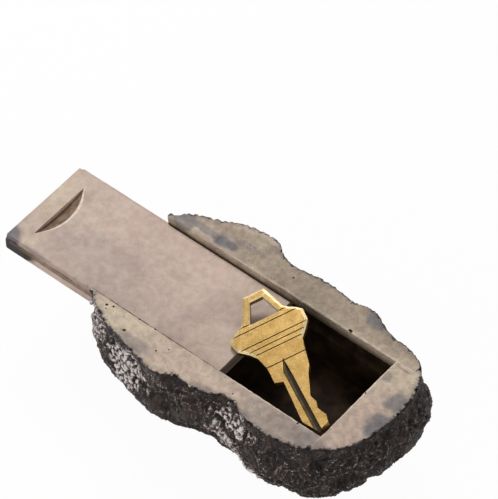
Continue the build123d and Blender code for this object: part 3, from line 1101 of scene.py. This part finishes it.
def brass(name, light, dull, roughness, metallic=1.0):
    """Brass with drawn scratches, darker toning in clouds and fine wear."""
    tree, shader, where = start_material(name)
    tone = between(tree, grain(tree, where, 3, 5, 0.6), 0.38, 0.64)
    colour = blend_colours(tree, tone, light, dull)
    fine = between(tree, grain(tree, where, 0.45, 4, 0.2), 0.3, 0.7, 0.8, 1.15)
    colour = blend_colours(tree, 1.0, colour, fine, "MULTIPLY")
    tree.links.new(colour, shader.inputs["Base Color"])
    shader.inputs["Metallic"].default_value = metallic
    drawn = stretched(tree, where, (0.25, 3.0, 1.0), radians(29.8))
    scratches = grain(tree, drawn, 0.5, 4)
    rough = between(tree, scratches, 0.25, 0.75, roughness, roughness + 0.16)
    tree.links.new(rough, shader.inputs["Roughness"])
    raise_surface(tree, shader, [(scratches, 0.05, 0.35), (grain(tree, where, 1.5, 3), 0.12, 0.2)])


brass("worn_brass", (0.5, 0.322, 0.115), (0.42, 0.262, 0.085), 0.32)
brass("toned_brass", (0.1, 0.068, 0.024), (0.065, 0.042, 0.013), 0.42, 0.7)
# The bevels' brass is paler than the rest: a painted highlight
brass("highlit_brass", (1.0, 0.82, 0.5), (0.88, 0.67, 0.35), 0.46)
brass("dark_brass", (0.03, 0.018, 0.006), (0.014, 0.008, 0.003), 0.5, 0.4)
# The groove's own faces are toned, from just under the face down to its floor
groove_reach = 2.2
groove_low, groove_high = -0.75, -0.03
for face in key.data.polygons:
    middle = to_key @ face.center / mm
    in_groove = middle.x > groove_start and abs(middle.y) < groove_reach
    in_groove = in_groove and groove_low < middle.z < groove_high
    if in_groove and face.material_index == worn:
        face.material_index = toned
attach(key, "key")
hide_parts("key")

# --- Floor, light and camera ------------------------------------------------------------------
# A pale matt floor under plain soft light: a window above and behind on the left, a weak fill on
# the right and a low lamp in front. The camera looks down from beyond the closed end's near
# corner through a long lens.

floor_half = 3.0
floor_white = 0.96  # how much of the floor is plain white to the camera
floor_mesh = bmesh.new()
bmesh.ops.create_grid(floor_mesh, x_segments=1, y_segments=1, size=floor_half)
bmesh.ops.translate(floor_mesh, verts=floor_mesh.verts, vec=(0, 0, rock_low.z))
floor = new_piece("floor", floor_mesh)
floor_paint = bpy.data.materials.new("pale_floor")
floor_paint.use_nodes = True
tree = floor_paint.node_tree
matt = tree.nodes["Principled BSDF"]
matt.inputs["Base Color"].default_value = (0.8, 0.8, 0.8, 1)
matt.inputs["Roughness"].default_value = 0.9
glow = tree.nodes.new("ShaderNodeEmission")
glow.inputs["Color"].default_value = (1, 1, 1, 1)
glow.inputs["Strength"].default_value = 1.0
seen = tree.nodes.new("ShaderNodeLightPath")
share = tree.nodes.new("ShaderNodeMath")
share.operation = "MULTIPLY"
share.inputs[1].default_value = floor_white
tree.links.new(seen.outputs["Is Camera Ray"], share.inputs[0])
either = tree.nodes.new("ShaderNodeMixShader")
tree.links.new(share.outputs[0], either.inputs["Fac"])
tree.links.new(matt.outputs["BSDF"], either.inputs[1])
tree.links.new(glow.outputs["Emission"], either.inputs[2])
tree.links.new(either.outputs["Shader"], tree.nodes["Material Output"].inputs["Surface"])
floor.data.materials.append(floor_paint)

sky = bpy.data.worlds.new("studio")
bpy.context.scene.world = sky
sky.use_nodes = True
tree = sky.node_tree
dim = tree.nodes["Background"]
dim.inputs["Color"].default_value = (1, 1, 1, 1)
dim.inputs["Strength"].default_value = 0.3
white = tree.nodes.new("ShaderNodeBackground")
white.inputs["Color"].default_value = (1, 1, 1, 1)
white.inputs["Strength"].default_value = 1.0
seen = tree.nodes.new("ShaderNodeLightPath")
either = tree.nodes.new("ShaderNodeMixShader")
tree.links.new(seen.outputs["Is Camera Ray"], either.inputs["Fac"])
tree.links.new(dim.outputs["Background"], either.inputs[1])
tree.links.new(white.outputs["Background"], either.inputs[2])
tree.links.new(either.outputs["Shader"], tree.nodes["World Output"].inputs["Surface"])

lit_place = Vector((-15, 0, -15)) * mm


def soft_lamp(name, towards, distance, size, power):
    """A square soft lamp that faces the object."""
    lamp = bpy.data.lights.new(name, "AREA")
    lamp.size = size
    lamp.energy = power
    stand = bpy.data.objects.new(name, lamp)
    direction = Vector(towards).normalized()
    stand.location = lit_place + direction * distance
    stand.rotation_euler = (-direction).to_track_quat("-Z", "Y").to_euler()
    bpy.context.scene.collection.objects.link(stand)


soft_lamp("window", (-0.75, 0.55, 1.15), distance=0.9, size=0.35, power=5.2)
soft_lamp("fill", (0.9, -0.5, 0.9), distance=1.2, size=0.8, power=1.4)
soft_lamp("front", (0.1, -0.95, 0.3), distance=1.0, size=0.7, power=4.0)

camera_distance = 1.1709
lens_length = 278.8
camera = bpy.data.objects.new("camera", bpy.data.cameras.new("camera"))
bpy.context.scene.collection.objects.link(camera)
azimuth, elevation = radians(39.28), radians(50.97)
aim = Vector((-5.77, 1.79, 35.54)) * mm
back = Vector((sin(azimuth) * cos(elevation), -cos(azimuth) * cos(elevation), sin(elevation)))
camera.location = aim + back * camera_distance
camera.rotation_euler = back.to_track_quat("Z", "Y").to_euler()
camera.data.lens = lens_length
camera.data.sensor_width = 36
camera.data.clip_start = 0.1
camera.data.clip_end = 20
bpy.context.scene.camera = camera
bpy.context.scene.view_settings.view_transform = "Standard"
